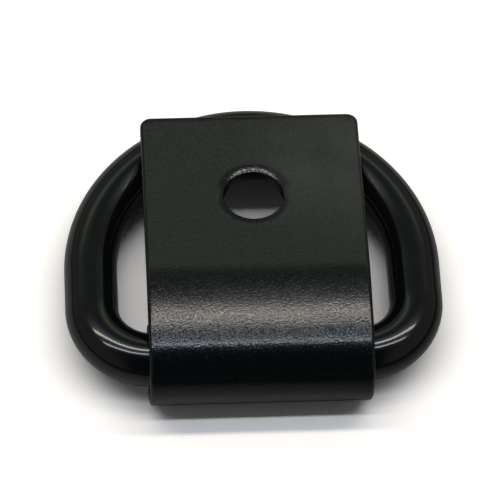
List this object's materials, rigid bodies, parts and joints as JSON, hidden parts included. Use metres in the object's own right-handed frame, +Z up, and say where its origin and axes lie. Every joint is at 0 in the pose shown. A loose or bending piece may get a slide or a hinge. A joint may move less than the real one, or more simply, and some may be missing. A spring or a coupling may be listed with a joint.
{
  "type": "bolt on d ring tie down",
  "caption": "Black coated steel strip with a bolt hole, curled at one end round the bar of a loose round-wire D ring.",
  "frame": {"origin": "bottom of the part as it lies on a level surface, under the middle of its width and depth", "axes": "+X along the ring's bar, +Y from the curled end towards the ring's arc, +Z up from the surface it lies on"},
  "size_m": [0.045, 0.0404, 0.0125],
  "materials": {
    "bracket_coat": "satin black coating over rolled steel strip",
    "ring_coat": "semi-gloss black coating over bent round bar"
  },
  "bodies": {
    "bracket": {"bracket": "bracket_coat"},
    "d_ring": {"d_ring": "ring_coat"}
  },
  "joints": [
    {"name": "ring_swing", "type": "hinge", "parent": "bracket", "child": "d_ring", "pos_m": [0, -0.01469, 0.00553], "axis": [1, 0, 0], "range_deg": [-337, 0]}
  ]
}
